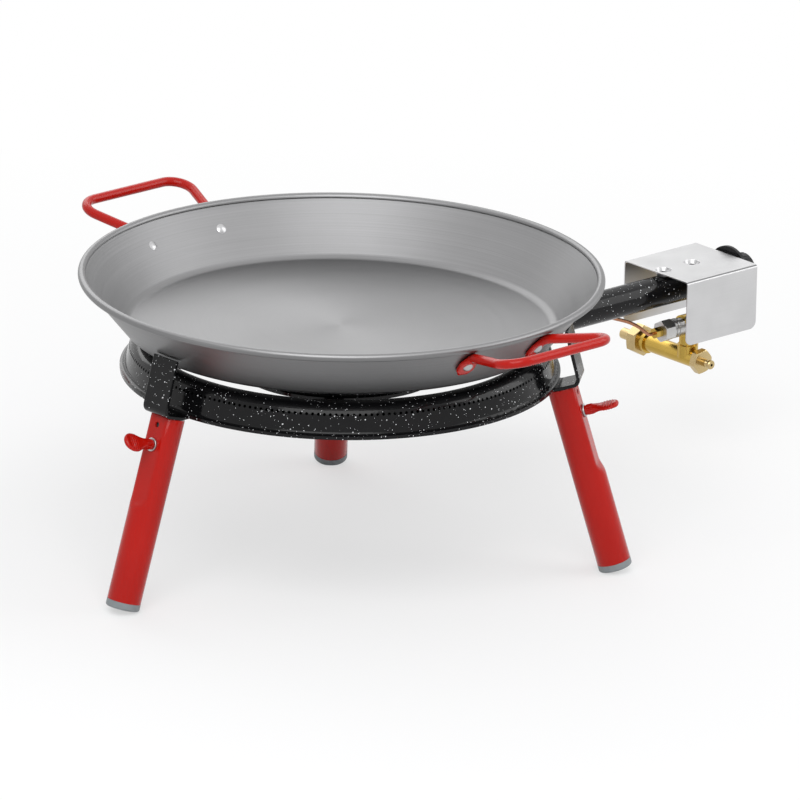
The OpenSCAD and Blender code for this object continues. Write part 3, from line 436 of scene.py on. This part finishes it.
def pan():
    trim = PAN_ROUND * math.tan(math.radians(90 - PAN_LEAN) / 2)
    corner = (PAN_BASE_R - trim, PAN_Z + PAN_ROUND)
    bead = (wall_r(PAN_DEPTH), PAN_Z + PAN_DEPTH)
    gap_h = PAN_DEPTH - (BEAD_R - 2 * RIM_GAP) * LEAN_COS
    gap = (wall_r(gap_h), PAN_Z + gap_h)
    lip_angle = math.degrees(math.atan2(-LEAN_COS, -LEAN_SIN))
    slit = math.degrees(RIM_GAP / BEAD_R)
    inner = (bead[0] - PAN_SHEET * LEAN_COS, bead[1] + PAN_SHEET * LEAN_SIN)
    outline = [(0.0, PAN_Z), (PAN_BASE_R / 2, PAN_Z)]
    outline += arc(corner, PAN_ROUND, -90, -PAN_LEAN, 8)
    outline += [gap]
    outline += arc(bead, BEAD_R, lip_angle + slit, lip_angle + 270 + PAN_LEAN, 28)
    outline += [inner]
    outline += arc(corner, PAN_ROUND - PAN_SHEET, -PAN_LEAN, -90, 8)
    outline += [(PAN_BASE_R / 2, PAN_Z + PAN_SHEET), (0.0, PAN_Z + PAN_SHEET)]
    add_piece("pan_body", lathe("pan_body", outline, steps=PAN_STEPS), "pan", "pan_steel", "pan_shell")


# Handles: a bar drawn flat at both ends into lugs that lie on the pan's wall
BAR_R = 4.25 * MM
GRIP_OUT = 61.5 * MM
GRIP_HALF = 64.5 * MM
GRIP_RISE = 15 * MM
GRIP_BEND = 18 * MM
KNUCKLE_BEND = 9 * MM
LUG_HALF_GAP = 40 * MM
LUG_HALF_W = 8.5 * MM
LUG_END_HALF_W = 5.3 * MM
LUG_HALF_T = 2 * MM
LUG_UP = 15 * MM
LUG_TAIL = 11.56 * MM
LUG_TAPER = 6.4 * MM
RIVET_H = 28.5 * MM
BAR_STEP = 1.5 * MM


def handle(name, node, side):
    lug_angle = math.asin(LUG_HALF_GAP / wall_r(RIVET_H))
    radial = Vector((math.sin(lug_angle), side * math.cos(lug_angle), 0))
    upward = Vector((0, 0, 1))
    slope = radial * LEAN_SIN + upward * LEAN_COS
    normal = radial * LEAN_COS - upward * LEAN_SIN
    rivet = radial * wall_r(RIVET_H) + upward * (PAN_Z + RIVET_H)
    start = rivet + slope * LUG_UP + normal * BAR_R
    grip_y = side * (wall_r(PAN_DEPTH) + GRIP_OUT)
    grip_z = start.z + GRIP_RISE
    lug_face = rivet + normal * LUG_HALF_T
    corners = [lug_face - slope * LUG_TAIL, lug_face + slope * LUG_UP / 3, start,
               Vector((GRIP_HALF, grip_y, grip_z)), Vector((0, grip_y, grip_z))]
    lug_len = LUG_TAIL + LUG_UP
    half_w = [(0, LUG_END_HALF_W), (LUG_TAPER, LUG_HALF_W), (LUG_TAIL + LUG_UP / 4, LUG_HALF_W),
              (lug_len, BAR_R)]
    half_t = [(0, 0.8 * LUG_HALF_T), (LUG_HALF_T, LUG_HALF_T), (LUG_TAIL + LUG_UP / 3, LUG_HALF_T),
              (lug_len, BAR_R)]
    square = [(0, 5.0), (LUG_TAIL, 5.0), (lug_len, 2.0)]
    line = stations(bent_path(corners, [2 * KNUCKLE_BEND, KNUCKLE_BEND, GRIP_BEND]), BAR_STEP)
    rings = []
    for i, (at, point) in enumerate(line):
        ahead = (line[min(i + 1, len(line) - 1)][1] - line[max(i - 1, 0)][1]).normalized()
        normal = (normal - ahead * ahead.dot(normal)).normalized()
        across = ahead.cross(normal)
        rings.append(section(point, across, normal, eased(half_w, at), eased(half_t, at),
                             eased(square, at)))
    mirrored = [[Vector((-p.x, p.y, p.z)) for p in ring] for ring in reversed(rings[:-1])]
    add_piece(name, loft(name, rings + mirrored), "pan", "red_paint", node)


# Legs: tubes with their upper end pressed flat on the outer side
LEG_R = 15 * MM
LEG_WALL = 1.5 * MM
LEG_FLAT = 10.5 * MM
LEG_LEN = 165.79 * MM
FLAT_END = 73 * MM
FLAT_FLARE = 16 * MM
FLARE_STEPS = 12
LEG_EDGE_H = 0.5 * MM
LEG_EDGE_IN = 0.25 * MM
PRESS_ROUND = 2.2 * MM
LEG_HOLE_R = 2.5 * MM
LEG_HOLE_DROP = 8 * MM
SCREW_DROP = 26 * MM


# Frame of a leg: z up the leg from its top, x out of the pressed flat
def leg_place(side):
    out = Vector(joints[f"thumb_screw_{side}_turn"]["axis"]).normalized()
    up = -Vector(joints[f"leg_{side}_pull"]["axis"]).normalized()
    top = Vector(joints[f"thumb_screw_{side}_turn"]["pos_m"]) - out * LEG_FLAT + up * SCREW_DROP
    turn = Matrix((out, up.cross(out), up)).transposed().to_4x4()
    return Matrix.Translation(top) @ turn


def soft_least(a, b, round_by):
    share = min(1.0, max(0.0, 0.5 + 0.5 * (b - a) / round_by))
    return b + (a - b) * share - round_by * share * (1 - share)


def leg_ring(place, radius, flat, height, count=72):
    ring = []
    for k in range(count):
        a = math.tau * k / count
        x = soft_least(radius * math.cos(a), flat, PRESS_ROUND)
        ring.append(place @ Vector((x, radius * math.sin(a), height)))
    return ring


def leg(side):
    place = leg_place(side)
    flare = [-FLAT_END - FLAT_FLARE * k / FLARE_STEPS for k in range(FLARE_STEPS + 1)]
    heights = [0.0, -LEG_EDGE_H, -SCREW_DROP, *flare, -LEG_LEN + LEG_EDGE_H, -LEG_LEN]
    outer, inner = [], []
    for height in heights:
        press = eased([(-FLAT_END - FLAT_FLARE, 0.0), (-FLAT_END, 1.0)], height)
        ease = LEG_EDGE_IN if height in (heights[0], heights[-1]) else 0.0
        flat = LEG_R + PRESS_ROUND - press * (LEG_R + PRESS_ROUND - LEG_FLAT)
        outer.append(leg_ring(place, LEG_R - ease, flat - ease, height))
        inner.append(leg_ring(place, LEG_R - LEG_WALL, flat - LEG_WALL, height))
    name = f"leg_{side}_tube"
    tube = add_piece(name, loft(name, outer + inner[::-1], looped=True), f"leg_{side}", "red_paint",
                     f"leg_tube_{side}")
    drill_place = place @ Matrix.Translation((0, 0, -LEG_HOLE_DROP)) @ Matrix.Rotation(math.pi / 2, 4, "Y")
    drill_outline = [(0, 0), (LEG_HOLE_R, 0), (LEG_HOLE_R, 2 * LEG_R), (0, 2 * LEG_R)]
    drill_mesh = lathe("drill", drill_outline, drill_place, 24)
    drill = bpy.data.objects.new("drill", drill_mesh)
    collection.objects.link(drill)
    cut = tube.modifiers.new("hole", "BOOLEAN")
    cut.object = drill
    cut.solver = "EXACT"
    bpy.context.view_layer.update()
    graph = bpy.context.evaluated_depsgraph_get()
    cut_mesh = bpy.data.meshes.new_from_object(tube.evaluated_get(graph))
    tube.modifiers.clear()
    tube.data = cut_mesh
    tube.data.name = name
    tube.data.set_sharp_from_angle(angle=SHARP)
    bpy.data.objects.remove(drill)


# Thumb screws: shank, knurled neck and an oval paddle with ribbed faces
SHANK_R = 4 * MM
NECK_AT = 2.3 * MM
NECK_R = 4.4 * MM
PADDLE_AT = 11.3 * MM
PADDLE_LEN = 21 * MM
PADDLE_HALF_W = 9 * MM
PADDLE_HALF_T = 2.5 * MM
RIB_H = 0.35 * MM
RIB_PITCH = 2.4 * MM
RIB_FROM = 5 * MM
RIB_TO = 3 * MM
RIB_FADE = 3 * MM
KNURL_COUNT = 14
KNURL_H = 0.3 * MM
KNURL_FADE = 1 * MM
TIP_ROUND_W = 0.97
TIP_ROUND_T = 0.9
SCREW_STEPS = 66
SCREW_POINTS = 56
SCREW_SQUARE = 2.2
SCREW_SPIN = {"far": -45, "left": 4, "right": 55}


def thumb_screw(side):
    joint = joints[f"thumb_screw_{side}_turn"]
    place = leg_place(side)
    out, across, up = (place.to_3x3().col[i] for i in range(3))
    spin = math.radians(SCREW_SPIN[side])
    wide = across * math.cos(spin) + up * math.sin(spin)
    thick = up * math.cos(spin) - across * math.sin(spin)
    flat = Vector(joint["pos_m"])
    tip = PADDLE_AT + PADDLE_LEN
    neck = [(-LEG_WALL, SHANK_R), (NECK_AT - WELD, SHANK_R), (NECK_AT, NECK_R)]
    half_w = [*neck, (0.75 * PADDLE_AT, NECK_R), (PADDLE_AT + 0.5 * PADDLE_LEN, PADDLE_HALF_W)]
    half_t = [*neck, (0.7 * PADDLE_AT, NECK_R), (PADDLE_AT + 0.3 * PADDLE_LEN, PADDLE_HALF_T)]
    heights = [-LEG_WALL, NECK_AT - 2 * WELD, NECK_AT]
    heights += [NECK_AT + (tip - NECK_AT) * k / SCREW_STEPS for k in range(1, SCREW_STEPS + 1)]
    rib_span = [(PADDLE_AT + RIB_FROM, 0.0), (PADDLE_AT + RIB_FROM + RIB_FADE, 1.0),
                (tip - RIB_TO - RIB_FADE, 1.0), (tip - RIB_TO, 0.0)]
    knurl_span = [(NECK_AT + KNURL_FADE, 0.0), (NECK_AT + 2 * KNURL_FADE, 1.0), (0.7 * PADDLE_AT, 1.0),
                  (PADDLE_AT, 0.0)]
    rings = []
    for at in heights:
        from_end = max(0.0, (at - (tip - PADDLE_HALF_W)) / PADDLE_HALF_W)
        from_edge = max(0.0, (at - (tip - PADDLE_HALF_T)) / PADDLE_HALF_T)
        round_w = math.sqrt(max(0.0, 1 - TIP_ROUND_W * from_end ** 2))
        round_t = math.sqrt(max(0.0, 1 - TIP_ROUND_T * from_edge ** 2))
        ribbed = eased(rib_span, at)
        rib = RIB_H * ribbed * math.cos(math.tau * at / RIB_PITCH)
        ring = section(flat + out * at, wide, thick, eased(half_w, at) * round_w,
                       (eased(half_t, at) + rib) * round_t, SCREW_SQUARE, SCREW_POINTS)
        knurled = eased(knurl_span, at)
        if NECK_AT < at < PADDLE_AT:
            ring = [p + (p - flat - out * at).normalized() * KNURL_H * knurled
                    * math.cos(math.tau * KNURL_COUNT * k / len(ring)) for k, p in enumerate(ring)]
        rings.append(ring)
    name = f"thumb_screw_{side}_paddle"
    add_piece(name, loft(name, rings), f"thumb_screw_{side}", "thumb_screw", f"thumb_screw_{side}")


# Edge rounding of the pieces that are copies of their CAD nodes
BRACKET_EDGE = 0.6 * MM
BUSH_EDGE = 0.5 * MM
COVER_EDGE = 0.2 * MM
KNOB_EDGE = 0.6 * MM
NUT_EDGE = 0.3 * MM
LEAD_CREASE = math.radians(60)

pan()
handle("handle_front_bar", "handle_front", -1)
handle("handle_back_bar", "handle_back", 1)
for side in ("far", "left", "right"):
    leg(side)
    thumb_screw(side)
    rounded_copy(f"bracket_{side}", BRACKET_EDGE)
    rounded_copy(f"screw_bush_{side}", BUSH_EDGE)
rounded_copy("valve_cover", COVER_EDGE)
rounded_copy("knob", KNOB_EDGE)
for nut in ("inlet_nut", "front_nut", "magnet_unit", "lead_nut"):
    rounded_copy(nut, NUT_EDGE)
smooth_copy("sensor_lead", LEAD_CREASE)

# Camera at the photograph's angle
AZIMUTH = math.radians(-41.958)
ELEVATION = math.radians(18.729)
ROLL = math.radians(1.118)
DISTANCE = 9.943
TARGET = Vector((0.044505, -0.029923, 0.140))
LENS = 509.6
SENSOR = 36.0

right = Vector((math.cos(AZIMUTH), math.sin(AZIMUTH), 0.0))
ahead = Vector((-math.sin(AZIMUTH) * math.cos(ELEVATION), math.cos(AZIMUTH) * math.cos(ELEVATION),
                -math.sin(ELEVATION)))
up = right.cross(ahead)
rolled_right = math.cos(ROLL) * right + math.sin(ROLL) * up
rolled_up = math.cos(ROLL) * up - math.sin(ROLL) * right
lens = bpy.data.cameras.new("camera")
lens.lens = LENS
lens.sensor_width = SENSOR
lens.clip_end = 60.0
camera = bpy.data.objects.new("camera", lens)
turn = Matrix((rolled_right, rolled_up, -ahead)).transposed().to_4x4()
camera.matrix_world = Matrix.Translation(TARGET - DISTANCE * ahead) @ turn
collection.objects.link(camera)
bpy.context.scene.camera = camera


# Soft box aimed at the middle of the object
def soft_box(name, place, size, power):
    lamp = bpy.data.lights.new(name, "AREA")
    lamp.shape = "RECTANGLE"
    lamp.size, lamp.size_y = size
    lamp.energy = power
    holder = bpy.data.objects.new(name, lamp)
    holder.location = place
    holder.rotation_euler = (TARGET - Vector(place)).to_track_quat("-Z", "Y").to_euler()
    collection.objects.link(holder)


soft_box("key_light", (-1.6, -1.5, 2.2), (2.4, 2.4), 60)
soft_box("top_light", (0.2, 0.3, 2.6), (5.0, 5.0), 32)
soft_box("side_light", (2.2, -1.6, 1.6), (2.2, 1.8), 28)
soft_box("back_light", (0.9, 2.5, 1.7), (2.4, 1.6), 20)


# Factor that is one for rays that see a background
def seen_factor(tree):
    path = tree.nodes.new("ShaderNodeLightPath")
    total = path.outputs["Is Camera Ray"]
    for name in ("Is Glossy Ray", "Is Transmission Ray"):
        add = tree.nodes.new("ShaderNodeMath")
        add.operation = "ADD"
        add.use_clamp = True
        tree.links.new(total, add.inputs[0])
        tree.links.new(path.outputs[name], add.inputs[1])
        total = add.outputs[0]
    return total


# World: level light on surfaces, white where the background itself is seen
world = bpy.data.worlds.new("studio")
bpy.context.scene.world = world
world.use_nodes = True
sky = world.node_tree
level = sky.nodes["Background"]
level.inputs["Color"].default_value = (0.95, 0.97, 1.0, 1)
level.inputs["Strength"].default_value = 0.35
white = sky.nodes.new("ShaderNodeBackground")
white.inputs["Color"].default_value = (1, 1, 1, 1)
white.inputs["Strength"].default_value = 1.0
choose = sky.nodes.new("ShaderNodeMixShader")
sky.links.new(seen_factor(sky), choose.inputs["Fac"])
sky.links.new(level.outputs[0], choose.inputs[1])
sky.links.new(white.outputs[0], choose.inputs[2])
sky.links.new(choose.outputs[0], sky.nodes["World Output"].inputs["Surface"])

# Pale floor that keeps the shadow near the object and is white further out
FLOOR_HALF = 12.0
SHADOW_R = 0.35
WHITE_R = 1.2
SHADOW_GLOW = 0.55
floor_mesh = bpy.data.meshes.new("floor")
corners = [(-FLOOR_HALF, -FLOOR_HALF, 0), (FLOOR_HALF, -FLOOR_HALF, 0), (FLOOR_HALF, FLOOR_HALF, 0),
           (-FLOOR_HALF, FLOOR_HALF, 0)]
floor_mesh.from_pydata(corners, [], [(0, 1, 2, 3)])
floor = bpy.data.objects.new("floor", floor_mesh)
collection.objects.link(floor)
paint = Graph("floor", Base_Color=(0.86, 0.86, 0.86, 1), Roughness=0.9, Specular_IOR_Level=0.1)
glow = paint.node("ShaderNodeEmission")
glow.inputs["Strength"].default_value = 1.0
radius = paint.around_z()[1]
far_share = paint.span(radius, SHADOW_R, WHITE_R, SHADOW_GLOW, 1.0)
mixed = paint.node("ShaderNodeMixShader")
paint.feed(mixed.inputs["Fac"], paint.math("MULTIPLY", far_share, seen_factor(paint.tree)))
paint.feed(mixed.inputs[1], paint.shader.outputs[0])
paint.feed(mixed.inputs[2], glow.outputs[0])
below = paint.node("ShaderNodeMixShader")
clear = paint.node("ShaderNodeBsdfTransparent")
paint.feed(below.inputs["Fac"], paint.node("ShaderNodeNewGeometry").outputs["Backfacing"])
paint.feed(below.inputs[1], mixed.outputs[0])
paint.feed(below.inputs[2], clear.outputs[0])
paint.feed(paint.tree.nodes["Material Output"].inputs["Surface"], below.outputs[0])
floor_mesh.materials.append(paint.material)

bpy.context.scene.view_settings.view_transform = "Standard"
